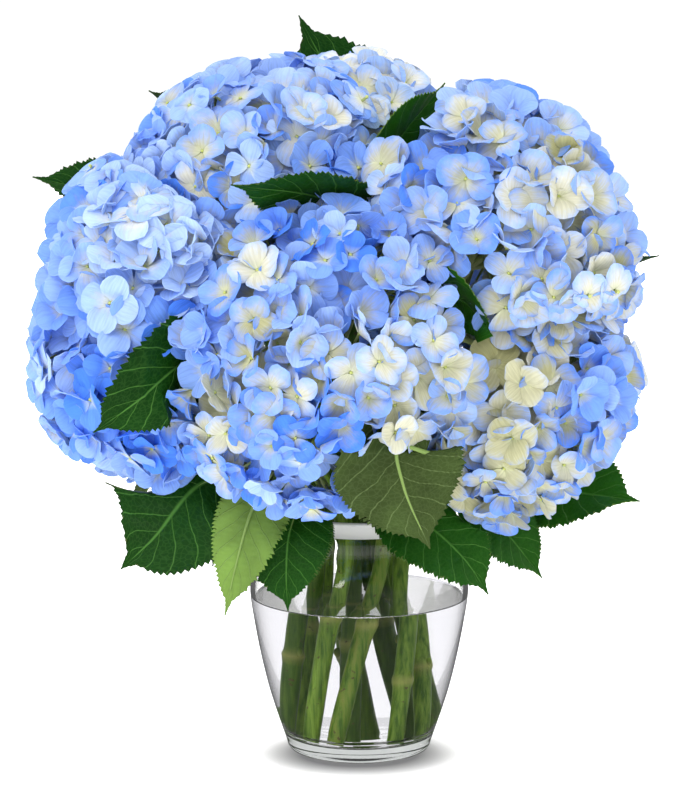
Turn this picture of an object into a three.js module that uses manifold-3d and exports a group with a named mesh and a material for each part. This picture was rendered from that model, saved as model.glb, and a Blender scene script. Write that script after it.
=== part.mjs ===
// Cut hydrangeas standing in a clear glass vase of water, in millimetres, with +Z up.
// The origin is the centre of the vase's underside. The viewer stands at -Y, with +X to the right.
import * as THREE from 'three';
import { mergeVertices } from 'three/addons/utils/BufferGeometryUtils.js';
import Module from 'manifold-3d';

const wasm = await Module();
wasm.setup();

// Driving dimensions

const GAP = 0.3; // left between pieces that touch
const WELD = 1e-3; // corners nearer than this are one corner

const VASE_SILHOUETTE = [[44, 0], [57, 40], [65.5, 80], [68, 107], [59, 127], [41.5, 139], [46, 150]];
const VASE_WALL = 3;
const VASE_FLOOR = 10; // thickness of the solid glass bottom
const VASE_SIDES = 24;
const VASE_STEPS = 11; // rings of vertices up the outside
const WATER_LEVEL = 97;

const STEM_RADIUS = 4.75;
const STEM_SIDES = 7;
const STEM_STEPS = 9;
const STEM_FOOT_LIFT = 1.5; // a leaning stem's cut end dips this far below its centre
const NECK_HEIGHT = 140; // where the stems are crowded together
const HEAD_APPROACH = 16; // last stretch of a stem, in line with its head

// Each head is a flattened ball: its centre, the way it faces, its radius across, and how far it
// reaches along its axis in front of its centre and behind it.
const HEADS = {
  front: { centre: [-20, -86, 254], faces: [-0.1, -0.93, 0.22], across: 96, ahead: 66, behind: 40 },
  left: { centre: [-123, -8, 271], faces: [-0.9, -0.35, 0.1], across: 104, ahead: 82, behind: 40 },
  upper_left: { centre: [-64, 2, 362], faces: [-0.35, -0.3, 0.88], across: 80, ahead: 64, behind: 35 },
  top: { centre: [-2, 52, 374], faces: [0.05, 0.15, 0.98], across: 66, ahead: 60, behind: 35 },
  upper_right: { centre: [88, -20, 329], faces: [0.55, -0.5, 0.67], across: 95, ahead: 76, behind: 40 },
  lower_right: { centre: [100, -36, 224], faces: [0.75, -0.6, -0.2], across: 79, ahead: 66, behind: 35 },
  back_left: { centre: [-80, 92, 267], faces: [-0.55, 0.8, 0.15], across: 86, ahead: 66, behind: 38 },
  back_right: { centre: [75, 95, 262], faces: [0.5, 0.8, 0.15], across: 88, ahead: 66, behind: 38 },
};
const HEAD_GAP = 0.8; // kept on each side of the plane where two heads press together
const LEAF_GAP = 3; // kept there instead where a leaf lies between the two heads
const LEAFY_CONTACTS = [
  ['front', 'left'],
  ['front', 'upper_left'],
  ['front', 'upper_right'],
  ['front', 'lower_right'],
  ['top', 'upper_right'],
  ['back_left', 'upper_left'],
  ['back_right', 'upper_right'],
  ['back_left', 'back_right'],
];
const FRONT_LEAF_BED = { point: [18, -124, 208], normal: [0.35, -0.75, -0.56] }; // a leaf presses here
const PRESS_DEPTH = 8; // florets this near a neighbouring head are squeezed
const CORE_SHARE = 0.8; // size of a head's core against the whole head
const CORE_SIDES = 9;
const FLORET_COUNT = 26;
const FLORET_RADIUS = 32;
const FLORET_DEPTH = 26;
const FLORET_DISH = 0.16; // how far the middle lies below the petals, against the radius
// Round one petal of a floret: degrees, then distance out and drop as shares of the radius.
const PETAL_OUTLINE = [[0, 0.5, 0.22], [21, 0.98, 0], [69, 0.98, 0]];
const FLORET_GAP = 0.3; // kept on each side between the petals of two florets
const FLORET_SEPARATIONS = 3; // passes that settle a petal between all its neighbours
const FLORET_SINK = 0.12; // how far a floret sits below the ball, against its radius
const FLORET_SPREAD = THREE.MathUtils.degToRad(118); // how far round from the pole florets grow
const PEDUNCLE_LENGTH = 12;

// Where each stem stands on the vase floor, where it passes the neck, and what it carries.
const STEMS = {
  front: { foot: [-14, -33], neck: [15, -20], head: 'front' },
  left: { foot: [-35, 2], neck: [-26, -8], head: 'left' },
  upper_left: { foot: [-24, 26], neck: [-21, 15], head: 'upper_left' },
  top: { foot: [-4, 3], neck: [-3, 4], head: 'top' },
  upper_right: { foot: [33, -10], neck: [22, 12], head: 'upper_right' },
  lower_right: { foot: [20, -29], neck: [28, -6], head: 'lower_right' },
  back_left: { foot: [20, 29], neck: [0, 29], head: 'back_left' },
  back_right: { foot: [32, 13], neck: [11, 24], head: 'back_right' },
  leafy_front: { foot: [-27, -23], neck: [-8, -26], top: [[-20, -30, 170], [-40, -30, 205]] },
  leafy_back: { foot: [3, 35], neck: [-13, 29], top: [[-23, 44, 175], [-28, 60, 200]] },
};

const LEAF_THICKNESS = 1;
const LEAF_MARGIN = 3; // kept to the round of a head
const LEAF_CLEARANCE = 0.6; // kept to a head where the leaf lies between two
const LEAF_TEETH = 5; // on each edge
const LEAF_TOOTH = 0.16; // depth of the teeth against half the width
const LEAF_TIP = 0.8; // half the width at the very tip
const PETIOLE_RADIUS = 1.7;
const PETIOLE_STEP = 16; // length of one piece of a petiole
const LEAF_FOLD = 0.16; // how far the edges rise above the midrib, against half the width

// Each leaf leaves its stem at a height, follows its route to the tip, and turns its upper side
// towards a direction. The petiole takes a share of the route and the blade the rest.
const LEAVES = {
  behind_top: {
    stem: 'top', height: 290, route: [[0, 84, 312], [4, 124, 368], [-39, 122, 457]],
    width: 96, faces: [0, -1, 0.2], petiole: 0.35,
  },
  above_right: {
    stem: 'top', height: 296, route: [[4, 8, 320], [20, -16, 375], [52, 0, 415]],
    width: 60, faces: [0.73, -0.58, -0.36], petiole: 0.4,
  },
  middle: {
    stem: 'top', height: 280, route: [[-8, -20, 318], [-20, -60, 347], [-74, -103, 359]],
    width: 56, faces: [0.31, -0.6, -0.73], petiole: 0.4,
  },
  cleft: {
    stem: 'upper_right', height: 262, route: [[42, -30, 278], [60, -78, 290], [80, -88, 264]],
    width: 72, faces: [-0.73, -0.45, -0.51], petiole: 0.4,
  },
  behind_right: {
    stem: 'upper_right', height: 276, route: [[85, 38, 285], [140, 42, 295], [187, 22, 308]],
    width: 60, faces: [0.1, -0.5, 0.85], petiole: 0.3,
  },
  behind_left: {
    stem: 'upper_left', height: 280, route: [[-72, 60, 312], [-140, 60, 338], [-205, 40, 356]],
    width: 58, faces: [-0.1, -0.75, 0.6], petiole: 0.5,
  },
  behind_upper_left: {
    stem: 'top', height: 294, route: [[-44, 74, 342], [-96, 72, 388], [-130, 20, 410]],
    width: 36, faces: [-0.5, 0.8, 0.2], petiole: 0.45,
  },
  left_front: {
    stem: 'left', height: 236,
    route: [[-64, -28, 246], [-100, -84, 256], [-130, -106, 234], [-156, -90, 214]],
    width: 62, faces: [0.2, -0.95, -0.15], petiole: 0.38,
  },
  low_left: {
    stem: 'left', height: 172,
    route: [[-62, -20, 180], [-98, -32, 172], [-126, -38, 140], [-146, -36, 121]],
    width: 108, faces: [-0.41, -0.85, 0.34], petiole: 0.3,
  },
  low_left_back: {
    stem: 'leafy_back', height: 178, route: [[-62, 30, 180], [-85, 26, 150], [-93, 22, 110]],
    width: 52, faces: [-0.6, -0.7, 0.3], petiole: 0.3,
  },
  low_pale: {
    stem: 'leafy_front', height: 196,
    route: [[-50, -50, 192], [-64, -72, 165], [-73, -86, 135], [-80, -86, 104]],
    width: 46, faces: [0.3, 0.85, 0.3], petiole: 0.25,
  },
  low_front: {
    stem: 'leafy_front', height: 172,
    route: [[-33, -48, 168], [-42, -68, 150], [-44, -75, 126], [-43, -75, 104]],
    width: 56, faces: [-0.1, -0.95, 0.3], petiole: 0.25,
  },
  front: {
    stem: 'lower_right', height: 190,
    route: [
      [42, -45, 195], [52, -95, 200], [42, -120, 206],
      [21, -127, 212], [24, -128, 190], [40, -113, 150],
    ],
    width: 78, faces: [-0.1, 0.93, 0.33], petiole: 0.6,
  },
  low_right: {
    stem: 'front', height: 158, route: [[24, -46, 160], [42, -60, 152], [62, -66, 134], [77, -66, 112]],
    width: 70, faces: [0.35, -0.75, 0.55], petiole: 0.2,
  },
  low_far_right: {
    stem: 'lower_right', height: 166, route: [[58, -8, 166], [88, -15, 142], [113, -20, 112]],
    width: 58, faces: [0.45, -0.7, 0.55], petiole: 0.3,
  },
  right_low: {
    stem: 'upper_right', height: 178, route: [[72, 26, 176], [120, 30, 160], [174, -8, 158]],
    width: 80, faces: [0.2, -0.75, 0.6], petiole: 0.35,
  },
  back_low_left: {
    stem: 'leafy_back', height: 184, route: [[-48, 66, 180], [-75, 90, 166], [-112, 112, 122]],
    width: 76, faces: [-0.3, 0.5, 0.8], petiole: 0.3,
  },
  back_low_right: {
    stem: 'back_right', height: 172, route: [[38, 58, 176], [76, 86, 166], [116, 106, 120]],
    width: 76, faces: [0.3, 0.5, 0.8], petiole: 0.3,
  },
  back_low_middle: {
    stem: 'back_left', height: 186, route: [[-4, 62, 188], [0, 104, 164], [4, 122, 112]],
    width: 72, faces: [0, 0.85, 0.5], petiole: 0.25,
  },
  back_cleft: {
    stem: 'top', height: 250, route: [[-2, 72, 268], [-2, 128, 288], [-3, 165, 258]],
    width: 62, faces: [0.95, 0.2, 0.2], petiole: 0.35,
  },
  side_left: {
    stem: 'upper_left', height: 176, route: [[-64, 44, 200], [-115, 60, 180], [-152, 62, 132]],
    width: 70, faces: [-0.4, 0.2, 0.9], petiole: 0.35,
  },
};

// Building blocks

// A geometry as one closed, outward-facing shell with shared vertices.
function weld(geometry) {
  const bare = new THREE.BufferGeometry();
  bare.setAttribute('position', geometry.getAttribute('position').clone());
  if (geometry.index) {
    bare.setIndex(geometry.index.clone());
  }
  const merged = mergeVertices(bare, WELD);
  const position = merged.getAttribute('position');
  const corners = merged.index.array;
  const kept = [];
  let volume = 0;
  const [a, b, c] = [new THREE.Vector3(), new THREE.Vector3(), new THREE.Vector3()];
  for (let i = 0; i < corners.length; i += 3) {
    const [p, q, r] = corners.slice(i, i + 3);
    if (p === q || q === r || r === p) {
      continue;
    }
    kept.push(p, q, r);
    a.fromBufferAttribute(position, p);
    b.fromBufferAttribute(position, q);
    c.fromBufferAttribute(position, r);
    volume += a.dot(b.cross(c));
  }
  if (volume < 0) {
    kept.reverse();
  }
  merged.setIndex(kept);
  return merged;
}

function toSolid(geometry) {
  const welded = weld(geometry);
  const mesh = new wasm.Mesh({
    numProp: 3,
    vertProperties: new Float32Array(welded.getAttribute('position').array),
    triVerts: new Uint32Array(welded.index.array),
  });
  mesh.merge();
  return new wasm.Manifold(mesh);
}

function fromSolid(solid) {
  const mesh = solid.getMesh();
  const geometry = new THREE.BufferGeometry();
  geometry.setAttribute('position', new THREE.BufferAttribute(new Float32Array(mesh.vertProperties), 3));
  geometry.setIndex(Array.from(mesh.triVerts));
  return geometry;
}

// The largest body of a solid, with any sealed hollow filled and loose scraps dropped.
function largestBody(solid) {
  const bodies = solid.decompose();
  return bodies.reduce((best, body) => (body.volume() > best.volume() ? body : best));
}

function vector(point) {
  return new THREE.Vector3(...point);
}

// Repeatable random numbers between 0 and 1.
function randomSource(seed) {
  let state = seed;
  return () => {
    state = (state * 1664525 + 1013904223) % 4294967296;
    return state / 4294967296;
  };
}

// A turned shape standing on Z, from points [radius, height].
function turned(profile, sides) {
  const points = profile.map(([radius, height]) => new THREE.Vector2(radius, height));
  return new THREE.LatheGeometry(points, sides).rotateX(Math.PI / 2);
}

// Heads: a core with large florets that stand out of it

for (const head of Object.values(HEADS)) {
  head.centre = vector(head.centre);
  head.faces = vector(head.faces).normalize();
}

// How far a head reaches from its centre in one direction.
function reach(head, direction) {
  const along = direction.dot(head.faces);
  const aside = Math.sqrt(Math.max(0, 1 - along * along));
  const axial = along > 0 ? head.ahead : head.behind;
  return 1 / Math.hypot(along / axial, aside / head.across);
}

// The planes where a head meets its neighbours, facing out of it.
function contactPlanes(name) {
  const head = HEADS[name];
  const planes = [];
  for (const [otherName, other] of Object.entries(HEADS)) {
    if (otherName === name) {
      continue;
    }
    const normal = other.centre.clone().sub(head.centre);
    const distance = normal.length();
    normal.normalize();
    const own = reach(head, normal);
    const theirs = reach(other, normal.clone().negate());
    const share = (own + distance - theirs) / 2;
    const leafy = LEAFY_CONTACTS.some((pair) => pair.includes(name) && pair.includes(otherName));
    planes.push({ normal, offset: normal.dot(head.centre) + share, gap: leafy ? LEAF_GAP : HEAD_GAP });
  }
  if (name === 'front') {
    const normal = vector(FRONT_LEAF_BED.normal).normalize();
    planes.push({ normal, offset: normal.dot(vector(FRONT_LEAF_BED.point)), gap: LEAF_GAP });
  }
  return planes;
}

for (const [name, head] of Object.entries(HEADS)) {
  head.planes = contactPlanes(name);
}

// Moves a point of a head back from its neighbours, as petals press against each other.
function press(point, head) {
  for (const { normal, offset, gap } of head.planes) {
    const depth = normal.dot(point) - offset + gap;
    if (depth > -PRESS_DEPTH) {
      const pressed = -PRESS_DEPTH * Math.exp(-(depth + PRESS_DEPTH) / PRESS_DEPTH);
      point.addScaledVector(normal, pressed - depth);
    }
  }
  return point;
}

// How far a point lies beyond the nearest contact plane; negative inside the head.
function beyond(point, head) {
  return Math.max(...head.planes.map(({ normal, offset }) => normal.dot(point) - offset));
}

// Moves every vertex of a geometry by a rule.
function reshape(geometry, rule) {
  const position = geometry.getAttribute('position');
  const point = new THREE.Vector3();
  for (let i = 0; i < position.count; i += 1) {
    rule(point.fromBufferAttribute(position, i));
    position.setXYZ(i, point.x, point.y, point.z);
  }
  return geometry;
}

// A point's distance from a head's centre as a share of the head's reach in that direction.
function sizeAt(point, head, margin = 0) {
  const offset = point.clone().sub(head.centre);
  const along = offset.dot(head.faces);
  const aside = offset.addScaledVector(head.faces, -along).length();
  const axial = along > 0 ? head.ahead : head.behind;
  return Math.hypot(along / (axial + margin), aside / (head.across + margin));
}

// Draws a point that stands out of a head's ball back to its surface.
function keepInBall(point, head) {
  const size = sizeAt(point, head);
  if (size > 1) {
    point.sub(head.centre).divideScalar(size).add(head.centre);
  }
}

// The point where the stem meets the head's short stalk.
function stemJoint(head) {
  return head.centre.clone().addScaledVector(head.faces, -(head.behind + PEDUNCLE_LENGTH));
}

function coreGeometry(head) {
  const [across, ahead, behind] = [head.across, head.ahead, head.behind].map((size) => size * CORE_SHARE);
  const joint = -head.behind - PEDUNCLE_LENGTH;
  const belt = { radius: across * Math.cos(Math.PI / 4), height: Math.sin(Math.PI / 4) };
  const profile = [
    [0, joint],
    [STEM_RADIUS, joint],
    [STEM_RADIUS * 1.6, -head.behind],
    [belt.radius, -behind * belt.height],
    [across, 0],
    [belt.radius, ahead * belt.height],
    [0, ahead],
  ];
  const core = turned(profile, CORE_SIDES);
  core.applyQuaternion(new THREE.Quaternion().setFromUnitVectors(new THREE.Vector3(0, 0, 1), head.faces));
  return core.translate(...head.centre);
}

// One floret: four broad petals round a dished middle, narrowing to a root in the core.
function floretGeometry(radius) {
  const points = [[0, 0, -radius * FLORET_DISH], [0, 0, -FLORET_DEPTH]];
  for (let petal = 0; petal < 4; petal += 1) {
    for (const [degrees, share, drop] of PETAL_OUTLINE) {
      const angle = THREE.MathUtils.degToRad(degrees + petal * 90);
      points.push([Math.cos(angle) * share * radius, Math.sin(angle) * share * radius, -drop * radius]);
    }
  }
  const rim = points.length - 2;
  const corners = [];
  for (let i = 0; i < rim; i += 1) {
    const here = 2 + i;
    const next = 2 + ((i + 1) % rim);
    corners.push(0, here, next, 1, next, here);
  }
  const geometry = new THREE.BufferGeometry();
  geometry.setAttribute('position', new THREE.Float32BufferAttribute(points.flat(), 3));
  geometry.setIndex(corners);
  return geometry;
}

// Where the florets of a head grow: evenly round its ball, apart from what its neighbours cover.
function floretSpots(head, seed) {
  const lowest = Math.cos(FLORET_SPREAD);
  const goldenAngle = Math.PI * (3 - Math.sqrt(5));
  const turn = new THREE.Quaternion().setFromUnitVectors(new THREE.Vector3(0, 0, 1), head.faces);
  const spots = [];
  for (let i = 0; i < FLORET_COUNT; i += 1) {
    const height = 1 - (1 - lowest) * ((i + 0.5) / FLORET_COUNT);
    const ring = Math.sqrt(1 - height * height);
    const angle = i * goldenAngle + seed;
    const axial = height > 0 ? head.ahead : head.behind;
    const middle = new THREE.Vector3(
      head.across * ring * Math.cos(angle),
      head.across * ring * Math.sin(angle),
      axial * height,
    );
    const radial = middle.clone().normalize();
    const outward = new THREE.Vector3(
      middle.x / head.across ** 2,
      middle.y / head.across ** 2,
      middle.z / axial ** 2,
    );
    outward.normalize().add(radial).normalize();
    middle.applyQuaternion(turn).add(head.centre);
    outward.applyQuaternion(turn);
    if (beyond(middle, head) < 0) {
      spots.push({ middle, outward });
    }
  }
  return spots;
}

// Keeps a floret on its own side of the planes midway to its neighbours.
function separate(point, spot, spots) {
  for (const other of spots) {
    const normal = other.middle.clone().sub(spot.middle);
    const limit = normal.length() / 2 - FLORET_GAP;
    normal.normalize();
    const excess = normal.dot(point.clone().sub(spot.middle)) - limit;
    if (other !== spot && excess > 0) {
      point.addScaledVector(normal, -excess);
    }
  }
}

function headGeometry(head, seed) {
  const random = randomSource(seed);
  let solid = toSolid(reshape(coreGeometry(head), (point) => press(point, head)));
  const spots = floretSpots(head, seed);
  for (const spot of spots) {
    const radius = FLORET_RADIUS * (0.94 + 0.12 * random());
    const floret = floretGeometry(radius);
    floret.rotateZ(random() * Math.PI);
    const turn = new THREE.Quaternion().setFromUnitVectors(new THREE.Vector3(0, 0, 1), spot.outward);
    floret.applyQuaternion(turn);
    floret.translate(...spot.middle.clone().addScaledVector(spot.outward, -radius * FLORET_SINK));
    reshape(floret, (point) => {
      keepInBall(point, head);
      for (let pass = 0; pass < FLORET_SEPARATIONS; pass += 1) {
        separate(point, spot, spots);
      }
      press(point, head);
    });
    solid = solid.add(toSolid(floret));
  }
  return fromSolid(largestBody(solid));
}

// Stems: straight and crossing in the vase, then bending out to their heads

function stemRoute(stem) {
  const foot = vector([...stem.foot, VASE_FLOOR + GAP + STEM_FOOT_LIFT]);
  const neck = vector([...stem.neck, NECK_HEIGHT]);
  const middle = foot.clone().lerp(neck, 0.5);
  if (!stem.head) {
    return [foot, middle, neck, ...stem.top.map(vector)];
  }
  const head = HEADS[stem.head];
  const end = stemJoint(head).addScaledVector(head.faces, -GAP);
  return [foot, middle, neck, end.clone().addScaledVector(head.faces, -HEAD_APPROACH), end];
}

function stemCurve(stem) {
  return new THREE.CatmullRomCurve3(stemRoute(stem), false, 'centripetal');
}

function stemGeometry(stem, radius) {
  const corners = [];
  for (let i = 0; i < STEM_SIDES; i += 1) {
    const angle = (i / STEM_SIDES) * 2 * Math.PI;
    corners.push(new THREE.Vector2(Math.cos(angle) * radius, Math.sin(angle) * radius));
  }
  return new THREE.ExtrudeGeometry(new THREE.Shape(corners), {
    steps: STEM_STEPS,
    extrudePath: stemCurve(stem),
    bevelEnabled: false,
  });
}

// Vase and water

const silhouette = new THREE.SplineCurve(VASE_SILHOUETTE.map((point) => new THREE.Vector2(...point)));

// The vase's outside moved inward by a distance, from the floor up.
function innerProfile(inset, floor, top) {
  const points = [];
  for (let i = 0; i <= VASE_STEPS; i += 1) {
    const outer = silhouette.getPointAt(i / VASE_STEPS);
    const tangent = silhouette.getTangentAt(i / VASE_STEPS);
    points.push([outer.x - tangent.y * inset, outer.y + tangent.x * inset]);
  }
  return clipProfile(points, floor, top);
}

function radiusAt(points, height) {
  const above = points.findIndex((point) => point[1] >= height);
  const [low, high] = [points[above - 1], points[above]];
  return low[0] + ((high[0] - low[0]) * (height - low[1])) / (high[1] - low[1]);
}

function clipProfile(points, floor, top) {
  const inside = points.filter(([, height]) => height > floor + 1 && height < top - 1);
  const clipped = [[radiusAt(points, floor), floor], ...inside];
  if (points[points.length - 1][1] > top) {
    clipped.push([radiusAt(points, top), top]);
  } else {
    clipped.push(points[points.length - 1]);
  }
  return clipped;
}

function vaseGeometry() {
  const outer = silhouette.getSpacedPoints(VASE_STEPS).map(({ x, y }) => [x, y]);
  const inner = innerProfile(VASE_WALL, VASE_FLOOR, Infinity);
  return turned([[0, 0], ...outer, ...inner.reverse(), [0, VASE_FLOOR]], VASE_SIDES);
}

function waterGeometry() {
  const floor = VASE_FLOOR + GAP;
  const sides = innerProfile(VASE_WALL + GAP, floor, WATER_LEVEL);
  let water = toSolid(turned([[0, floor], ...sides, [0, WATER_LEVEL]], VASE_SIDES));
  for (const stem of Object.values(STEMS)) {
    water = water.subtract(toSolid(stemGeometry(stem, STEM_RADIUS + 2 * GAP)));
  }
  return fromSolid(largestBody(water));
}

// Leaves: toothed blades folded along the midrib, on petioles

// Where a stem passes a height, and its direction there.
function stemAt(name, height) {
  const curve = stemCurve(STEMS[name]);
  const samples = 400; // fine enough to find the height within a millimetre
  for (let i = 0; i <= samples; i += 1) {
    const point = curve.getPoint(i / samples);
    if (point.z >= height) {
      return { point, tangent: curve.getTangent(i / samples) };
    }
  }
  throw new Error(`${name} does not reach ${height} mm`);
}

// Bends a leaf out of the way of the heads, along the nearest way out.
function clearOfHeads(point, thickness) {
  for (const head of Object.values(HEADS)) {
    const size = sizeAt(point, head, LEAF_MARGIN);
    const ways = head.planes.map((plane) => ({
      distance: plane.offset - plane.gap + thickness + LEAF_CLEARANCE - plane.normal.dot(point),
      direction: plane.normal,
      open: plane.gap === LEAF_GAP,
    }));
    if (size >= 1 || ways.some((way) => way.distance < 0)) {
      continue;
    }
    const outward = point.clone().sub(head.centre);
    const distance = outward.length() * (1 / size - 1);
    ways.push({ distance, direction: outward.normalize(), open: true });
    const best = ways.filter((way) => way.open).reduce((a, b) => (b.distance < a.distance ? b : a));
    point.addScaledVector(best.direction, best.distance);
  }
  return point;
}

// Share of the full width at a share of the way along the blade: egg-shaped with a drawn-out tip.
function bladeOutline(along) {
  return Math.sin(Math.PI * along ** 0.72) ** 0.85 * (1 - 0.35 * along ** 6);
}

function leafRoute(leaf) {
  const { point, tangent } = stemAt(leaf.stem, leaf.height);
  const away = vector(leaf.route[0]).sub(point);
  away.addScaledVector(tangent, -away.dot(tangent)).normalize();
  const start = point.clone().addScaledVector(away, STEM_RADIUS + GAP);
  return [start, start.clone().addScaledVector(away, STEM_RADIUS), ...leaf.route.map(vector)];
}

// Points across the leaf at each step of its route: left edge, midrib and right edge, above and below.
function leafRows(leaf) {
  const curve = new THREE.CatmullRomCurve3(leafRoute(leaf), false, 'centripetal');
  const faces = vector(leaf.faces);
  const rows = [];
  const petioleRows = Math.max(3, Math.round((curve.getLength() * leaf.petiole) / PETIOLE_STEP));
  const bladeRows = LEAF_TEETH * 2 + 1;
  for (let i = 0; i < petioleRows + bladeRows; i += 1) {
    const inBlade = i - petioleRows;
    const blade = Math.max(0, inBlade / (bladeRows - 1));
    const share = inBlade < 0 ? (i / petioleRows) * leaf.petiole : leaf.petiole + blade * (1 - leaf.petiole);
    const middle = curve.getPointAt(share);
    const forward = curve.getTangentAt(share);
    const side = faces.clone().cross(forward).normalize();
    const up = forward.clone().cross(side).normalize();
    const tooth = inBlade % 2 === 1 ? 1 - LEAF_TOOTH : 1;
    const halfBlade = Math.max(LEAF_TIP, (leaf.width / 2) * bladeOutline(blade) * tooth);
    const halfWidth = inBlade < 0 ? PETIOLE_RADIUS : halfBlade;
    const rise = inBlade < 0 ? 0 : halfWidth * LEAF_FOLD;
    const thickness = inBlade < 0 ? PETIOLE_RADIUS : LEAF_THICKNESS / 2;
    const line = [-1, 0, 1].map((edge) => {
      const spot = middle.clone().addScaledVector(side, edge * halfWidth);
      spot.addScaledVector(up, Math.abs(edge) * rise);
      return i < 2 ? spot : clearOfHeads(spot, thickness);
    });
    const above = line.map((spot) => spot.clone().addScaledVector(up, thickness));
    const below = line.map((spot) => spot.clone().addScaledVector(up, -thickness));
    rows.push([...above, ...below.reverse()]);
  }
  return rows;
}

function leafGeometry(leaf) {
  const rows = leafRows(leaf);
  const corners = [];
  const flipped = [false, true, false, false, true, false]; // the faces above and below split alike
  for (let i = 0; i < rows.length - 1; i += 1) {
    for (let k = 0; k < 6; k += 1) {
      const [a, b] = [6 * i + k, 6 * i + ((k + 1) % 6)];
      const [c, d] = [b + 6, a + 6];
      corners.push(...(flipped[k] ? [a, b, d, b, c, d] : [a, b, c, a, c, d]));
    }
  }
  const end = 6 * (rows.length - 1);
  corners.push(0, 5, 1, 1, 5, 4, 1, 4, 2, 2, 4, 3);
  for (const corner of [0, 1, 5, 1, 4, 5, 1, 2, 4, 2, 3, 4]) {
    corners.push(end + corner);
  }
  const geometry = new THREE.BufferGeometry();
  const points = rows.flat().flatMap((point) => point.toArray());
  geometry.setAttribute('position', new THREE.Float32BufferAttribute(points, 3));
  geometry.setIndex(corners);
  return geometry;
}

// Assembly

const MATERIALS = {
  glass: new THREE.MeshStandardMaterial({
    color: 0xeef4f2, roughness: 0.05, transparent: true, opacity: 0.35,
  }),
  water: new THREE.MeshStandardMaterial({
    color: 0xe6e4ef, roughness: 0.05, transparent: true, opacity: 0.4,
  }),
  stem: new THREE.MeshStandardMaterial({ color: 0x4f6b2e, roughness: 0.6 }),
  leaf: new THREE.MeshStandardMaterial({ color: 0x1d4a12, roughness: 0.5 }),
  petal: new THREE.MeshStandardMaterial({ color: 0x86abf2, roughness: 0.7 }),
};

const bouquet = new THREE.Group();

function addPiece(name, geometry, material) {
  const mesh = new THREE.Mesh(weld(geometry), MATERIALS[material]);
  mesh.name = name;
  bouquet.add(mesh);
}

addPiece('vase', vaseGeometry(), 'glass');
addPiece('water', waterGeometry(), 'water');
for (const [name, stem] of Object.entries(STEMS)) {
  addPiece(`stem_${name}`, stemGeometry(stem, STEM_RADIUS), 'stem');
}
Object.entries(HEADS).forEach(([name, head], index) => {
  addPiece(`bloom_${name}`, headGeometry(head, index + 1), 'petal');
});

for (const [name, leaf] of Object.entries(LEAVES)) {
  addPiece(`leaf_${name}`, leafGeometry(leaf), 'leaf');
}

export default bouquet;
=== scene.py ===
# Cut hydrangeas standing in a clear glass vase of water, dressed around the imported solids.
# Sizes are in millimetres, with the origin under the middle of the vase and the viewer at -Y.
import math
import random

import bmesh
import bpy
from mathutils import Matrix, Quaternion, Vector, noise
from mathutils.kdtree import KDTree


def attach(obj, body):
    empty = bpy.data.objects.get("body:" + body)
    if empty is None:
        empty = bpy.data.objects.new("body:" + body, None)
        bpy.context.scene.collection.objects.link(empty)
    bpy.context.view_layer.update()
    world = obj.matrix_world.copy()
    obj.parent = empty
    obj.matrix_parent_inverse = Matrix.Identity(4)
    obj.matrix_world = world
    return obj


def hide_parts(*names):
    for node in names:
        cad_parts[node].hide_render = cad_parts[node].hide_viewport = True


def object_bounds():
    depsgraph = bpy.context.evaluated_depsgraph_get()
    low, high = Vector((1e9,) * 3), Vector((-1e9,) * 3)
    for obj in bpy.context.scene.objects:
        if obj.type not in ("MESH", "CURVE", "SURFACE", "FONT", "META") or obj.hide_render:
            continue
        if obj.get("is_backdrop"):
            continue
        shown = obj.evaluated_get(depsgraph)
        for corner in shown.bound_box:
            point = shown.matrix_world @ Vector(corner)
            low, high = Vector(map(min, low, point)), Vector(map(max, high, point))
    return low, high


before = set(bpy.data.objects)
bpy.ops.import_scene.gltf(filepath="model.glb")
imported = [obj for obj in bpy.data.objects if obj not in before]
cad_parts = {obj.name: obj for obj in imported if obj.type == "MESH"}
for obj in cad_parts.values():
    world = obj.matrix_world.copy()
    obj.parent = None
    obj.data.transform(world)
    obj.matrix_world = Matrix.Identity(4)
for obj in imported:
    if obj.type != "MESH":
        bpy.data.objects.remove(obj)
cad_low, cad_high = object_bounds()

MM = 0.001

# Camera: 1.5 m in front of the flowers and level with their tops, looking slightly down. It stands
# as far away as the small change of size from the near heads to the far ones shows.

CAMERA_PLACE = Vector((-12, -1500, 440))
CAMERA_AIM = Vector((-12, 0, 222))

camera_data = bpy.data.cameras.new("camera")
camera_data.sensor_width = 36
camera_data.lens = 110.9
camera = bpy.data.objects.new("camera", camera_data)
camera.location = CAMERA_PLACE * MM
camera.rotation_euler = (CAMERA_AIM - CAMERA_PLACE).to_track_quat("-Z", "Y").to_euler()
bpy.context.scene.collection.objects.link(camera)
bpy.context.scene.camera = camera
bpy.context.scene.view_settings.view_transform = "Standard"

# Floor and light: matte white paper under a soft white ceiling, with one large lamp high on the left.
# The room behind the camera is dim, which keeps clear glass free of haze and draws its edges grey.


def colour(code):
    """An sRGB hex colour as linear red, green, blue and alpha."""
    shares = [int(code[i : i + 2], 16) / 255 for i in (1, 3, 5)]
    linear = [s / 12.92 if s <= 0.04045 else ((s + 0.055) / 1.055) ** 2.4 for s in shares]
    return (*linear, 1)


def set_inputs(node, inputs):
    """Gives each input a value, a hex colour, or the socket or the node that feeds it, a node with
    its first output in use."""
    for socket, value in inputs.items():
        if isinstance(value, bpy.types.Node):
            value = next(output for output in value.outputs if output.enabled)
        if isinstance(value, bpy.types.NodeSocket):
            node.id_data.links.new(value, node.inputs[socket])
        else:
            node.inputs[socket].default_value = colour(value) if isinstance(value, str) else value


def add_node(tree, kind, inputs=None, **settings):
    """Adds a shader node with its inputs and settings. A Mix takes its share at 0 and what it mixes
    at 2 and 3, or at 6 and 7 if these are colours."""
    node = tree.nodes.new(f"ShaderNode{kind}")
    inputs = inputs or {}
    if 6 in inputs:
        node.data_type = "RGBA"
    for setting, value in settings.items():
        setattr(node, setting, value)
    set_inputs(node, inputs)
    return node


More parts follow.
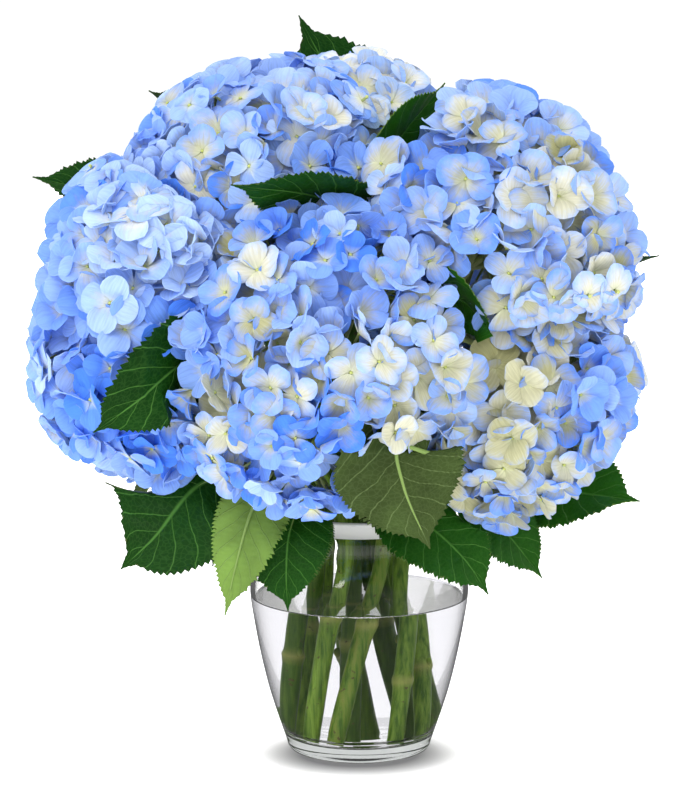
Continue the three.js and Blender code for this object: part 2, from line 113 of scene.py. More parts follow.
def new_material(name, **sockets):
    """A material with one Principled shader, whose sockets are named with spaces as underscores."""
    material = bpy.data.materials.new(name)
    material.use_nodes = True
    shader = material.node_tree.nodes["Principled BSDF"]
    set_inputs(shader, {socket.replace("_", " "): value for socket, value in sockets.items()})
    return material, material.node_tree, shader


FLOOR_RADIUS = 6000
CEILING_LIGHT = 1.33
WALL_LIGHT = 1
WHITE_BACKGROUND = 1.05
DIM_ROOM = 0.12
LAMP_PLACE = Vector((-1000, -1400, 1700))
LAMP_AIM = Vector((0, 0, 250))
LAMP_SIZE = 1100
LAMP_POWER = 18
SHADE_PLACE = Vector((0, 27, 0))
THROUGH_WATER_GLOW = 1.25
WATER_CROSSINGS = 4.5

paper, tree, shader = new_material("matte_white_paper", Roughness=0.9, Emission_Color="#ffffff")
# The paper glows, a painted light that is faint at the foot and grows whiter further away. A painted
# soft shadow lies beside the foot, most of it in front.
place = add_node(tree, "TexCoord")
shift = add_node(
    tree, "Mapping", {"Vector": place.outputs["Object"], "Location": SHADE_PLACE * MM, "Scale": (1, 1.3, 1)}
)
ahead = add_node(tree, "VectorMath", {0: shift}, operation="LENGTH")
glow = add_node(
    tree, "MapRange",
    {"Value": ahead, "From Min": 0.044, "From Max": 0.09, "To Min": 0.12, "To Max": 0.78},
    interpolation_type="SMOOTHSTEP",
)
beside_foot = add_node(tree, "MapRange", {"Value": ahead, "From Min": 0.036, "From Max": 0.066})
# Under the glass the paper is painted light and glows, standing in for light the glass lets through.
distance = add_node(tree, "VectorMath", {0: place.outputs["Object"]}, operation="LENGTH")
under_foot = add_node(tree, "Math", {0: distance, 1: 0.039}, operation="LESS_THAN")
lit = add_node(tree, "Math", {0: beside_foot, 1: under_foot}, operation="MAXIMUM")
# Painted shadow: dark grey in the paper's colour beside the foot.
shaded = add_node(tree, "Mix", {0: lit, 6: "#5c5c60", 7: "#fbfbfb"})
foot_glow = add_node(tree, "Math", {0: under_foot, 1: 0.4, 2: glow}, operation="MULTIPLY_ADD")


def ray_kinds(tree):
    """The path of a ray, whether it hasn't left a matt surface, and whether it comes through the
    water, as it then has crossed more than four surfaces."""
    path = add_node(tree, "LightPath")
    shown = add_node(tree, "Math", {0: path.outputs["Diffuse Depth"], 1: 0.5}, operation="LESS_THAN")
    crossed = add_node(tree, "Math", {0: path.outputs["Transmission Depth"], 1: shown}, operation="MULTIPLY")
    wet = add_node(tree, "Math", {0: crossed, 1: WATER_CROSSINGS}, operation="GREATER_THAN")
    return path, shown, wet


# In what glass and leaves mirror, the paper is painted dim grey without its glow, a painted shade
# that stands in for the shade of the camera, so no haze lies over them.
ray, shown, through_water = ray_kinds(tree)
mirrored_ray = add_node(
    tree, "Math", {0: ray.outputs["Glossy Depth"], 1: shown}, operation="MULTIPLY", use_clamp=True
)
dim = add_node(tree, "Mix", {0: mirrored_ray, 6: shaded, 7: "#464646"})
dim_glow = add_node(tree, "Mix", {0: mirrored_ray, 2: foot_glow, 3: 0})

# Seen through the water, the paper and the sky are painted grey at each side of the set: a painted
# shade that stands in for a narrow grey card and draws the edges of the water. Where each shade
# begins, is darkest and ends, from the left side at -1 to the right side at 1, and how light it is.
PAINTED_SIDE_SHADES = [(-0.99, 1), (-0.93, 0.3), (-0.55, 1), (0.5, 1), (0.93, 0.4), (0.99, 1)]


def side_shade(tree, aside):
    """How light the set is painted where it is seen through the water, by how far to its side a ray goes."""
    place = add_node(tree, "MapRange", {"Value": aside, "From Min": -1})
    painted_sides = add_node(tree, "ValToRGB", {0: place})
    stops = painted_sides.color_ramp.elements
    stops.remove(stops[1])
    for number, (side, light) in enumerate(PAINTED_SIDE_SHADES):
        stop = stops.new((side + 1) / 2) if number else stops[0]
        stop.position = (side + 1) / 2
        stop.color = (light, light, light, 1)
    painted_sides.color_ramp.interpolation = "EASE"
    return painted_sides


way = add_node(tree, "VectorMath", {0: place.outputs["Object"]}, operation="NORMALIZE")
aside = add_node(tree, "SeparateXYZ", {0: way})
side = side_shade(tree, aside.outputs["X"])
# Seen through the water, the paper is painted black and glows instead: a painted light, greyer at the sides.
wet_glow = add_node(tree, "Math", {0: side, 1: THROUGH_WATER_GLOW}, operation="MULTIPLY")
white = add_node(tree, "Mix", {0: through_water, 6: dim, 7: "#000000"})
light = add_node(tree, "Mix", {0: through_water, 2: dim_glow, 3: wet_glow})
set_inputs(shader, {"Base Color": white, "Emission Strength": light})
floor_bm = bmesh.new()
bmesh.ops.create_circle(floor_bm, cap_ends=True, segments=64, radius=FLOOR_RADIUS * MM)
floor_mesh = bpy.data.meshes.new("floor")
floor_bm.to_mesh(floor_mesh)
floor_bm.free()
floor_mesh.materials.append(paper)
floor = bpy.data.objects.new("floor", floor_mesh)
bpy.context.scene.collection.objects.link(floor)
floor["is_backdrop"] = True

world = bpy.data.worlds.new("studio")
world.use_nodes = True
bpy.context.scene.world = world
sky = world.node_tree
place = add_node(sky, "TexCoord")
way = add_node(sky, "SeparateXYZ", {0: place.outputs["Generated"]})
room = add_node(sky, "MapRange", {"Value": way.outputs["Z"], "To Min": WALL_LIGHT, "To Max": CEILING_LIGHT})
# What glass and gloss show: the white background behind the flowers and the dim room in front.
mirrored = add_node(
    sky, "MapRange",
    {
        "Value": way.outputs["Y"], "From Min": -0.5, "From Max": 0.1,
        "To Min": DIM_ROOM, "To Max": WHITE_BACKGROUND,
    },
    interpolation_type="SMOOTHSTEP",
)
ray, shown, through_water = ray_kinds(sky)
clear_ray = add_node(
    sky, "Math", {0: ray.outputs["Is Glossy Ray"], 1: ray.outputs["Is Transmission Ray"]},
    operation="MAXIMUM",
)
clear_view = add_node(sky, "Math", {0: clear_ray, 1: shown}, operation="MULTIPLY")
unlit = add_node(sky, "Mix", {0: clear_view, 2: room, 3: mirrored})
# Seen through the water, the sky too is painted grey at each side.
side = side_shade(sky, way.outputs["X"])
wet = add_node(sky, "Mix", {0: through_water, 2: unlit, 3: side})
seen = add_node(sky, "Mix", {0: ray.outputs["Is Camera Ray"], 2: wet, 3: WHITE_BACKGROUND})
set_inputs(sky.nodes["Background"], {"Color": "#ffffff", "Strength": seen})

lamp_data = bpy.data.lights.new("lamp", "AREA")
lamp_data.shape = "SQUARE"
lamp_data.size = LAMP_SIZE * MM
lamp_data.energy = LAMP_POWER
lamp_data.color = colour("#fffaf2")[:3]
lamp = bpy.data.objects.new("lamp", lamp_data)
lamp.location = LAMP_PLACE * MM
lamp.rotation_euler = (LAMP_AIM - LAMP_PLACE).to_track_quat("-Z", "Y").to_euler()
bpy.context.scene.collection.objects.link(lamp)

# Vase: clear soda-lime glass, blown in a mould to a broad shoulder and a waisted neck with a flared
# lip. The bottom is a thick pad, and the vase stands on a ring round its dished underside.

VASE_SILHOUETTE = [(44, 0), (57, 40), (65.5, 80), (68, 107), (59, 127), (41.5, 139), (46, 150)]
VASE_WALL = 3
VASE_FLOOR = 10
LIP_RADIUS = 1.5
LIP_START = 140
LIP_STEPS = 8
TURN_STEPS = 96
FINE_STEPS = 24
SHARP_ANGLE = math.radians(48)


def smooth_line(points, count, spread=0.5, held=False):
    """Evenly spaced points on a smooth line through others. A spread of 0 ignores their distances,
    and a held line ends as if its end points were doubled."""
    path = [Vector(point) for point in points]
    before = path[0] if held else 2 * path[0] - path[1]
    after = path[-1] if held else 2 * path[-1] - path[-2]
    path = [before, *path, after]
    fine = []
    for a, b, c, d in zip(path, path[1:], path[2:], path[3:]):
        ab, bc, cd = [(q - p).length ** spread if q != p else 1 for p, q in ((a, b), (b, c), (c, d))]
        leave = ((b - a) / ab - (c - a) / (ab + bc) + (c - b) / bc) * bc
        arrive = ((c - b) / bc - (d - b) / (bc + cd) + (d - c) / cd) * bc
        bend = 3 * (c - b) - 2 * leave - arrive
        turn = 2 * (b - c) + leave + arrive
        for i in range(FINE_STEPS):
            t = i / FINE_STEPS
            fine.append(((turn * t + bend) * t + leave) * t + b)
    fine.append(path[-2])
    lengths = [0]
    for p, q in zip(fine, fine[1:]):
        lengths.append(lengths[-1] + (q - p).length)
    line = []
    at = 0
    for i in range(count):
        goal = lengths[-1] * i / (count - 1)
        while at < len(fine) - 2 and lengths[at + 1] < goal:
            at += 1
        share = (goal - lengths[at]) / (lengths[at + 1] - lengths[at])
        line.append(fine[at].lerp(fine[at + 1], share))
    return line


def directions(line):
    """The direction of a line of points at each of them."""
    ahead = [*line[1:], line[-1]]
    behind = [line[0], *line[:-1]]
    return [(b - a).normalized() for a, b in zip(behind, ahead)]


vase_outside = smooth_line([(r, 0, z) for r, z in VASE_SILHOUETTE], 46, spread=0, held=True)


def vase_wall(inset, low, high):
    """Points up the vase wall, moved in from the outside, between two heights."""
    inner = []
    for point, along in zip(vase_outside, directions(vase_outside)):
        spot = point + inset * Vector((-along.z, 0, along.x))
        if low <= spot.z <= high:
            inner.append(spot)
    return inner


def spin_profile(points):
    """A closed turned shape from points in the XZ plane that start and end on the axis."""
    bm = bmesh.new()
    corners = [bm.verts.new(point) for point in points]
    edges = [bm.edges.new(pair) for pair in zip(corners, corners[1:])]
    bmesh.ops.spin(
        bm, geom=[*corners, *edges], cent=(0, 0, 0), axis=(0, 0, 1), angle=math.tau, steps=TURN_STEPS,
        use_merge=True,
    )
    bmesh.ops.remove_doubles(bm, verts=bm.verts, dist=0.001)
    bmesh.ops.recalc_face_normals(bm, faces=bm.faces)
    return bm


def finish_piece(bm, name, materials, slot, *nodes):
    """Turns a mesh in millimetres into a piece that stands for CAD nodes and rides on the vase."""
    bmesh.ops.scale(bm, vec=(MM, MM, MM), verts=bm.verts)
    bm.normal_update()
    for face in bm.faces:
        face.smooth = True
    for edge in bm.edges:
        edge.smooth = edge.calc_face_angle(0) < SHARP_ANGLE
    mesh = bpy.data.meshes.new(name)
    bm.to_mesh(mesh)
    bm.free()
    for material in materials:
        mesh.materials.append(material)
    piece = bpy.data.objects.new(name, mesh)
    bpy.context.scene.collection.objects.link(piece)
    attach(piece, "root")
    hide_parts(*nodes)


def clear_material(name, ior, body, density, **sockets):
    """A clear body that lets lamps shine through it, with a colour where it is deep."""
    sockets = {"Base_Color": "#ffffff", "Transmission_Weight": 1, **sockets}
    material, tree, shader = new_material(name, IOR=ior, **sockets)
    path = add_node(tree, "LightPath")
    open_air = add_node(tree, "BsdfTransparent", {"Color": "#ffffff"})
    surface = add_node(tree, "MixShader", {0: path.outputs["Is Shadow Ray"], 1: shader, 2: open_air})
    inside = add_node(tree, "VolumeAbsorption", {"Color": body, "Density": density})
    set_inputs(tree.nodes["Material Output"], {"Surface": surface, "Volume": inside})
    return material


# Soda-lime glass is colourless through a wall and grey-green along it, which draws its edges.
SODA_LIME = (1.52, "#b3bab8", 9)
glass = clear_material("clear_soda_lime_glass", *SODA_LIME, Roughness=0)
# The flared lip is milky white, a painted highlight that stands in for the bright light its thick glass
# reflects.
lip_painted_highlight = clear_material("milky_lip_painted_highlight", *SODA_LIME, Roughness=0.3, Transmission_Weight=0.4)

underside = [(0, 0, 1.8), (28, 0, 1.5), (36, 0, 0.6), (39.5, 0, 0), (42, 0, 0), (43.9, 0, 0.7), (45, 0, 2.3)]
outside = [point for point in vase_outside if 3.5 < point.z < 148.7]
inside_wall = vase_wall(VASE_WALL, 16, 149.8)
lip_way = directions(vase_outside)[-1]
lip_out = Vector((lip_way.z, 0, -lip_way.x))
lip_middle = vase_outside[-1] - lip_way * LIP_RADIUS - lip_out * LIP_RADIUS
lip = []
for step in range(1, LIP_STEPS):
    angle = math.pi * step / LIP_STEPS
    lip.append(lip_middle + LIP_RADIUS * (lip_out * math.cos(angle) + lip_way * math.sin(angle)))
heel_radius = inside_wall[0].x
heel = [(0.2, 13.6), (1.5, 11.3), (3.6, 10.2), (5.6, VASE_FLOOR)]
inside_floor = [(heel_radius - inward, 0, height) for inward, height in heel]
vase_bm = spin_profile(
    [*underside, *outside, *lip, *reversed(inside_wall), *inside_floor, (0, 0, VASE_FLOOR)]
)
for face in vase_bm.faces:
    if face.calc_center_median().z > LIP_START:
        face.material_index = 1
finish_piece(vase_bm, "vase_glass", [glass, lip_painted_highlight], "glass", "vase")

# Water: two thirds of the vase, drawn up a little where it wets the glass. Its side lies just inside
# the glass, so that no film of air shines between them.

WATER_LEVEL = 97
WETTING = 0.15

# The water's faint lavender is a painted reflection, standing in for the tint that the water mirrors.
FRESH_WATER = (1.333, "#c9c4dd", 2.5)
water_stuff = clear_material("flower_water", *FRESH_WATER, Roughness=0)
# Seen from so low, still water mirrors the white background and hardly shows.
water_top = clear_material(
    "still_water_surface", *FRESH_WATER, Roughness=0, Coat_Weight=1, Coat_Roughness=0, Coat_IOR=2
)

wet_wall = vase_wall(VASE_WALL - WETTING, 14, WATER_LEVEL - 1)
edge = wet_wall[-1].x + 0.4
climb = [(0, 1.1), (0.5, 0.5), (1.3, 0.15), (2.8, 0)]
surface_ring = [(edge - inward, 0, WATER_LEVEL + rise) for inward, rise in climb]
wet_floor = [(radius + WETTING, 0, height - WETTING) for radius, _, height in reversed(inside_floor)]
water_bm = spin_profile(
    [(0, 0, VASE_FLOOR - WETTING), *wet_floor, *wet_wall, *surface_ring, (0, 0, WATER_LEVEL)]
)
for face in water_bm.faces:
    if face.calc_center_median().z > WATER_LEVEL - 0.01:
        face.material_index = 1
finish_piece(water_bm, "vase_water", [water_stuff, water_top], "water", "water")

# Stems: young wood of the hydrangea, cut to length and stripped of its low leaves, which leave a
# swollen ring at each node. They stand crossed in the vase and are held by its neck.

# Each head is a flattened ball: its centre, the way it faces, its radius across, and how far it
# reaches along its axis in front of its centre and behind it.
HEADS = {
    "front": ((-20, -86, 254), (-0.1, -0.93, 0.22), (96, 66, 40)),
    "left": ((-123, -8, 271), (-0.9, -0.35, 0.1), (104, 82, 40)),
    "upper_left": ((-64, 2, 362), (-0.35, -0.3, 0.88), (80, 64, 35)),
    "top": ((-2, 52, 374), (0.05, 0.15, 0.98), (66, 60, 35)),
    "upper_right": ((88, -20, 329), (0.55, -0.5, 0.67), (95, 76, 40)),
    "lower_right": ((100, -36, 224), (0.75, -0.6, -0.2), (79, 66, 35)),
    "back_left": ((-80, 92, 267), (-0.55, 0.8, 0.15), (86, 66, 38)),
    "back_right": ((75, 95, 262), (0.5, 0.8, 0.15), (88, 66, 38)),
}
for name, (centre, faces, size) in HEADS.items():
    HEADS[name] = {"centre": Vector(centre), "faces": Vector(faces).normalized()}
    HEADS[name].update(zip(("across", "ahead", "behind"), size))

# Where each stem stands on the vase floor, where it passes the neck, what it carries, the heights of
# its nodes, how dark its bark is and how much of it has reddened.
STEMS = {
    "front": ((-14, -33), (15, -20), (88, 170), 0.35, 0.65),
    "left": ((-35, 2), (-26, -8), (64, 150), 0.75, 0.2),
    "upper_left": ((-24, 26), (-21, 15), (80, 190), 0.3, 0.1),
    "top": ((-4, 3), (-3, 4), (72, 220), 0.8, 0.1),
    "upper_right": ((33, -10), (22, 12), (58, 170), 0.25, 0.1),
    "lower_right": ((20, -29), (28, -6), (52, 150), 0.4, 0.3),
    "back_left": ((20, 29), (0, 29), (84, 190), 0.85, 0.1),
    "back_right": ((32, 13), (11, 24), (70, 170), 0.7, 0.2),
    "leafy_front": ((-27, -23), (-8, -26), (92, 168), 0.2, 0.1),
    "leafy_back": ((3, 35), (-13, 29), (60, 150), 0.6, 0.2),
}
for name, traits in STEMS.items():
    STEMS[name] = dict(zip(("foot", "neck", "nodes", "dark", "red"), traits))
LEAFY_TOPS = {
    "leafy_front": [(-20, -30, 170), (-40, -30, 205)],
    "leafy_back": [(-23, 44, 175), (-28, 60, 200)],
}
STEM_RADIUS = 4.75
BARK_RADIUS = 5.2
STEM_SIDES = 14
FOOT_HEIGHT = 11.8
NECK_HEIGHT = 140
HEAD_APPROACH = 16
PEDUNCLE_LENGTH = 12
JOINT_GAP = 0.3
NODE_SWELL = 0.2
NODE_LENGTH = 3
BUD_SIZE = Vector((1.7, 1.5, 3.2))


def stem_route(name):
    """The points of a stem, from its foot on the vase floor to what it carries."""
    stem = STEMS[name]
    foot = Vector((*stem["foot"], FOOT_HEIGHT))
    neck = Vector((*stem["neck"], NECK_HEIGHT))
    start = [foot, foot.lerp(neck, 0.5), neck]
    if name in LEAFY_TOPS:
        return start + [Vector(point) for point in LEAFY_TOPS[name]]
    head = HEADS[name]
    end = head["centre"] - head["faces"] * (head["behind"] + PEDUNCLE_LENGTH + JOINT_GAP)
    return start + [end - head["faces"] * HEAD_APPROACH, end]


def tube(bm, line, radii, sides):
    """A closed tube along a line of points, with a radius at each."""
    ways = directions(line)
    ring = bmesh.ops.create_circle(bm, cap_ends=True, cap_tris=False, segments=sides, radius=1)
    corners = ring["verts"]
    cap = corners[0].link_faces[0]
    made = {cap}
    turn = Vector((0, 0, 1)).rotation_difference(ways[0])
    pose = Matrix()
    for i, (point, way, radius) in enumerate(zip(line, ways, radii)):
        if i:
            turn = ways[i - 1].rotation_difference(way) @ turn
            longer = bmesh.ops.extrude_face_region(bm, geom=[cap])["geom"]
            if i > 1:
                bmesh.ops.delete(bm, geom=[cap], context="FACES_ONLY")
                made.discard(cap)
            corners = [part for part in longer if isinstance(part, bmesh.types.BMVert)]
            cap = next(part for part in longer if isinstance(part, bmesh.types.BMFace))
            made.update(face for corner in corners for face in corner.link_faces)
        place = Matrix.LocRotScale(point, turn, (radius, radius, radius))
        bmesh.ops.transform(bm, matrix=place @ pose.inverted(), verts=corners)
        pose = place
    bmesh.ops.recalc_face_normals(bm, faces=list(made))
    return list(made)


# Hydrangea bark is smooth and slightly ribbed, green where it is young and browner where it is old,
# with short raised marks that catch the light.
bark, tree, shader = new_material("young_hydrangea_bark", Roughness=0.45, Specular_IOR_Level=0.3)
kind = add_node(tree, "Attribute", attribute_name="bark")
split = add_node(tree, "SeparateColor", {0: kind})
place = add_node(tree, "TexCoord")
along = add_node(tree, "Mapping", {"Vector": place.outputs["Object"], "Scale": (1, 1, 0.08)})
# Ribs lie about 1.2 mm apart round the stem.
ribs = add_node(tree, "TexNoise", {"Vector": along, "Scale": 420, "Detail": 3, "Roughness": 0.6})
marks = add_node(tree, "TexNoise", {"Vector": place.outputs["Object"], "Scale": 260, "Detail": 2})
mark_mask = add_node(tree, "MapRange", {"Value": marks, "From Min": 0.68, "From Max": 0.74})
rib_share = add_node(tree, "MapRange", {"Value": ribs, "From Min": 0.35, "From Max": 0.65})
bark_colour = add_node(tree, "Mix", {0: rib_share, 6: "#446a12", 7: "#90b542"})
red_streaks = add_node(tree, "Math", {0: ribs, 1: split.outputs["Green"]}, operation="MULTIPLY")
red_share = add_node(
    tree, "MapRange", {"Value": red_streaks, "From Min": 0.3, "From Max": 0.62, "To Max": 0.75}
)
# Over the green of young bark: the green of age, reddened streaks, pale node rings and brown marks.
for share, code in (
    (split.outputs["Red"], "#34540f"),
    (red_share, "#7a4a35"),
    (split.outputs["Blue"], "#a3a65a"),
    (mark_mask, "#57522b"),
):
    bark_colour = add_node(tree, "Mix", {0: share, 6: bark_colour, 7: code})
height = add_node(tree, "Math", {0: ribs, 1: mark_mask}, operation="ADD")
bump = add_node(tree, "Bump", {"Height": height, "Strength": 0.5, "Distance": 0.0006})
set_inputs(shader, {"Base Color": bark_colour, "Normal": bump})

for name, stem in STEMS.items():
    route = smooth_line(stem_route(name), 90)
    radii = []
    for point in route:
        rings = sum(math.exp(-(((point.z - ring) / NODE_LENGTH) ** 2)) for ring in stem["nodes"])
        waver = 0.03 * math.sin(point.z * 0.11 + stem["foot"][0])
        radii.append(BARK_RADIUS * (0.97 + NODE_SWELL * rings + waver))
    stem_bm = bmesh.new()
    kind = stem_bm.verts.layers.float_color.new("bark")
    tube(stem_bm, route, radii, STEM_SIDES)
    # Two buds sit opposite each other above each ring, and each pair is a quarter turn on.
    for number, ring in enumerate(stem["nodes"]):
        at = next(i for i, point in enumerate(route) if point.z >= ring + 2)
        for side in (0, math.pi):
            angle = side + number * math.pi / 2 + stem["foot"][1]
            out = Vector((math.cos(angle), math.sin(angle), 0))
            bud = bmesh.ops.create_icosphere(stem_bm, subdivisions=2, radius=1)
            place = route[at] + out * radii[at]
            turn = out.to_track_quat("X", "Z")
            bmesh.ops.transform(
                stem_bm, matrix=Matrix.LocRotScale(place, turn, BUD_SIZE), verts=bud["verts"]
            )
    for vert in stem_bm.verts:
        rings = sum(math.exp(-(((vert.co.z - ring) / NODE_LENGTH) ** 2)) for ring in stem["nodes"])
        vert[kind] = (stem["dark"], stem["red"], 0.7 * min(1, rings), 1)
    finish_piece(stem_bm, f"stem_{name}_bark", [bark], "stem", f"stem_{name}")

# Leaves: broad, toothed and pointed, folded along the midrib, with the blade puckered up between its
# side veins. They grow from the stems on short petioles that run on under the blade as the midrib.

# Each leaf leaves its stem at a height, follows its route to the tip, and turns its upper side
# towards a direction. The petiole takes a share of the route and the blade the rest.
LEAVES = {
    "behind_top": ("top", 290, [(0, 84, 312), (4, 124, 368), (-39, 122, 457)], 96, (0, -1, 0.2), 0.35),
    "above_right": (
        "top", 296, [(4, 8, 320), (20, -16, 375), (52, 0, 415)], 60, (0.73, -0.58, -0.36), 0.4
    ),
    "middle": (
        "top", 280, [(-8, -20, 318), (-20, -60, 347), (-74, -103, 359)], 56, (0.31, -0.6, -0.73), 0.4
    ),
    "cleft": (
        "upper_right", 262, [(42, -30, 278), (60, -78, 290), (80, -88, 264)], 72,
        (-0.73, -0.45, -0.51), 0.4,
    ),
    "behind_right": (
        "upper_right", 276, [(85, 38, 285), (140, 42, 295), (187, 22, 308)], 60, (0.1, -0.5, 0.85), 0.3
    ),
    "behind_left": (
        "upper_left", 280, [(-72, 60, 312), (-140, 60, 338), (-205, 40, 356)], 58,
        (-0.1, -0.75, 0.6), 0.5,
    ),
    "behind_upper_left": (
        "top", 294, [(-44, 74, 342), (-96, 72, 388), (-130, 20, 410)], 36, (-0.5, 0.8, 0.2), 0.45
    ),
    "left_front": (
        "left", 236, [(-64, -28, 246), (-100, -84, 256), (-130, -106, 234), (-156, -90, 214)], 62,
        (0.2, -0.95, -0.15), 0.38,
    ),
    "low_left": (
        "left", 172, [(-62, -20, 180), (-98, -32, 172), (-126, -38, 140), (-146, -36, 121)], 108,
        (-0.41, -0.85, 0.34), 0.3,
    ),
    "low_left_back": (
        "leafy_back", 178, [(-62, 30, 180), (-85, 26, 150), (-93, 22, 110)], 52, (-0.6, -0.7, 0.3), 0.3
    ),
    "low_pale": (
        "leafy_front", 196, [(-50, -50, 192), (-64, -72, 165), (-73, -86, 135), (-80, -86, 104)], 46,
        (0.3, 0.85, 0.3), 0.25,
    ),
    "low_front": (
        "leafy_front", 172, [(-33, -48, 168), (-42, -68, 150), (-44, -75, 126), (-43, -75, 104)], 56,
        (-0.1, -0.95, 0.3), 0.25,
    ),
    "front": (
        "lower_right", 190,
        [(42, -45, 195), (52, -95, 200), (42, -120, 206), (21, -127, 212), (24, -128, 190),
         (40, -113, 150)],
        78, (-0.1, 0.93, 0.33), 0.6,
    ),
    "low_right": (
        "front", 158, [(24, -46, 160), (42, -60, 152), (62, -66, 134), (77, -66, 112)], 70,
        (0.35, -0.75, 0.55), 0.2,
    ),
    "low_far_right": (
        "lower_right", 166, [(58, -8, 166), (88, -15, 142), (113, -20, 112)], 58,
        (0.45, -0.7, 0.55), 0.3,
    ),
    "right_low": (
        "upper_right", 178, [(72, 26, 176), (120, 30, 160), (174, -8, 158)], 80, (0.2, -0.75, 0.6), 0.35
    ),
    "back_low_left": (
        "leafy_back", 184, [(-48, 66, 180), (-75, 90, 166), (-112, 112, 122)], 76, (-0.3, 0.5, 0.8), 0.3
    ),
    "back_low_right": (
        "back_right", 172, [(38, 58, 176), (76, 86, 166), (116, 106, 120)], 76, (0.3, 0.5, 0.8), 0.3
    ),
    "back_low_middle": (
        "back_left", 186, [(-4, 62, 188), (0, 104, 164), (4, 122, 112)], 72, (0, 0.85, 0.5), 0.25
    ),
    "back_cleft": (
        "top", 250, [(-2, 72, 268), (-2, 128, 288), (-3, 165, 258)], 62, (0.95, 0.2, 0.2), 0.35
    ),
    "side_left": (
        "upper_left", 176, [(-64, 44, 200), (-115, 60, 180), (-152, 62, 132)], 70, (-0.4, 0.2, 0.9), 0.35
    ),
}
LEAFY_CONTACTS = [
    {"front", "left"}, {"front", "upper_left"}, {"front", "upper_right"}, {"front", "lower_right"},
    {"top", "upper_right"}, {"back_left", "upper_left"}, {"back_right", "upper_right"},
    {"back_left", "back_right"},
]
HEAD_GAP = 0.8
LEAF_GAP = 3
BED_GAP = 3.1
FRONT_LEAF_BED = (Vector((18, -124, 208)), Vector((0.35, -0.75, -0.56)).normalized())
LEAF_MARGIN = 3
LEAF_CLEARANCE = 0.9
LEAF_FOLD = 0.16
LEAF_TEETH = 38
TOOTH_DEPTH = 3
BLADE_ROWS = 114
TIP_START = 0.9
TIP_WIDTH = 0.11
BLADE_COLUMNS = 14
BLADE_THICKNESS = 0.5
SIDE_VEINS = 8
VEIN_LEAN = 2.1
VEIN_WANDER = 0.5
PUCKER = 1.2
PETIOLE_RADIUS = 1.7
MIDRIB_END = 0.86
LEAF_STEPS = 400
STALK_STEP = 12


def reach(head, way):
    """How far a head reaches from its centre in one direction."""
    along = way.dot(head["faces"])
    aside = math.sqrt(max(0, 1 - along * along))
    axial = head["ahead"] if along > 0 else head["behind"]
    return 1 / math.hypot(along / axial, aside / head["across"])


def contact_planes(name):
    """The planes where a head meets its neighbours: normal, distance from the origin and gap."""
    head = HEADS[name]
    planes = []
    for other_name, other in HEADS.items():
        if other_name == name:
            continue
        normal = other["centre"] - head["centre"]
        apart = normal.length
        normal.normalize()
        share = (reach(head, normal) + apart - reach(other, -normal)) / 2
        gap = LEAF_GAP if {name, other_name} in LEAFY_CONTACTS else HEAD_GAP
        planes.append((normal, normal.dot(head["centre"]) + share, gap))
    if name == "front":
        place, normal = FRONT_LEAF_BED
        planes.append((normal, normal.dot(place), BED_GAP))
    return planes


for name, head in HEADS.items():
    head["planes"] = contact_planes(name)


def size_at(point, head, margin=0):
    """A point's distance from a head's centre as a share of the head's reach that way."""
    offset = point - head["centre"]
    along = offset.dot(head["faces"])
    aside = (offset - head["faces"] * along).length
    axial = head["ahead"] if along > 0 else head["behind"]
    return math.hypot(along / (axial + margin), aside / (head["across"] + margin))


def thicken(bm, thickness):
    """Gives an open sheet its thickness, below its faces, and returns the new faces."""
    sheet = set(bm.faces)
    grown = bmesh.ops.extrude_face_region(bm, geom=bm.faces[:], use_keep_orig=True)["geom"]
    bm.normal_update()
    for part in grown:
        if isinstance(part, bmesh.types.BMVert):
            part.co -= part.normal * thickness
    # The rim between the two sides takes its UVs from them.
    flat = bm.loops.layers.uv.active
    sides = sheet.union(part for part in grown if isinstance(part, bmesh.types.BMFace))
    spots = {loop.vert: loop[flat].uv.copy() for face in sides for loop in face.loops}
    for loop in [loop for face in bm.faces if face not in sides for loop in face.loops]:
        loop[flat].uv = spots[loop.vert]
    bmesh.ops.recalc_face_normals(bm, faces=bm.faces)
    return [face for face in bm.faces if face not in sheet]


def clear_of_heads(point):
    """Moves a point of a leaf out of the heads, along the nearest way out."""
    for head in HEADS.values():
        size = size_at(point, head, LEAF_MARGIN)
        if size >= 1:
            continue
        ways = []
        hidden = False
        for normal, offset, gap in head["planes"]:
            distance = offset - gap + LEAF_CLEARANCE - normal.dot(point)
            hidden = hidden or distance < 0
            if gap != HEAD_GAP:
                ways.append((distance, normal))
        if hidden:
            continue
        outward = point - head["centre"]
        ways.append((outward.length * (1 / size - 1), outward.normalized()))
        distance, way = min(ways, key=lambda found: found[0])
        point = point + way * distance
    return point


def blade_outline(along):
    """Half the width at a share of the blade's length: egg-shaped, with a short drawn-out tip."""
    body = math.sin(math.pi * min(1, along / TIP_START) ** 0.75) ** 0.6
    tip = TIP_WIDTH * min(1, 8 * along) * min(1, (1 - along) / (1 - TIP_START))
    return math.hypot(body, tip)


def leaf_line(stem_name, height, route):
    """The points from a leaf's place on its stem to its tip."""
    stem = smooth_line(stem_route(stem_name), LEAF_STEPS)
    ways = directions(stem)
    at = next(i for i, point in enumerate(stem) if point.z >= height)
    away = Vector(route[0]) - stem[at]
    away -= ways[at] * away.dot(ways[at])
    away.normalize()
    start = stem[at] + away * (STEM_RADIUS - 1)
    return [start, start + away * (STEM_RADIUS + 1), *[Vector(point) for point in route]]


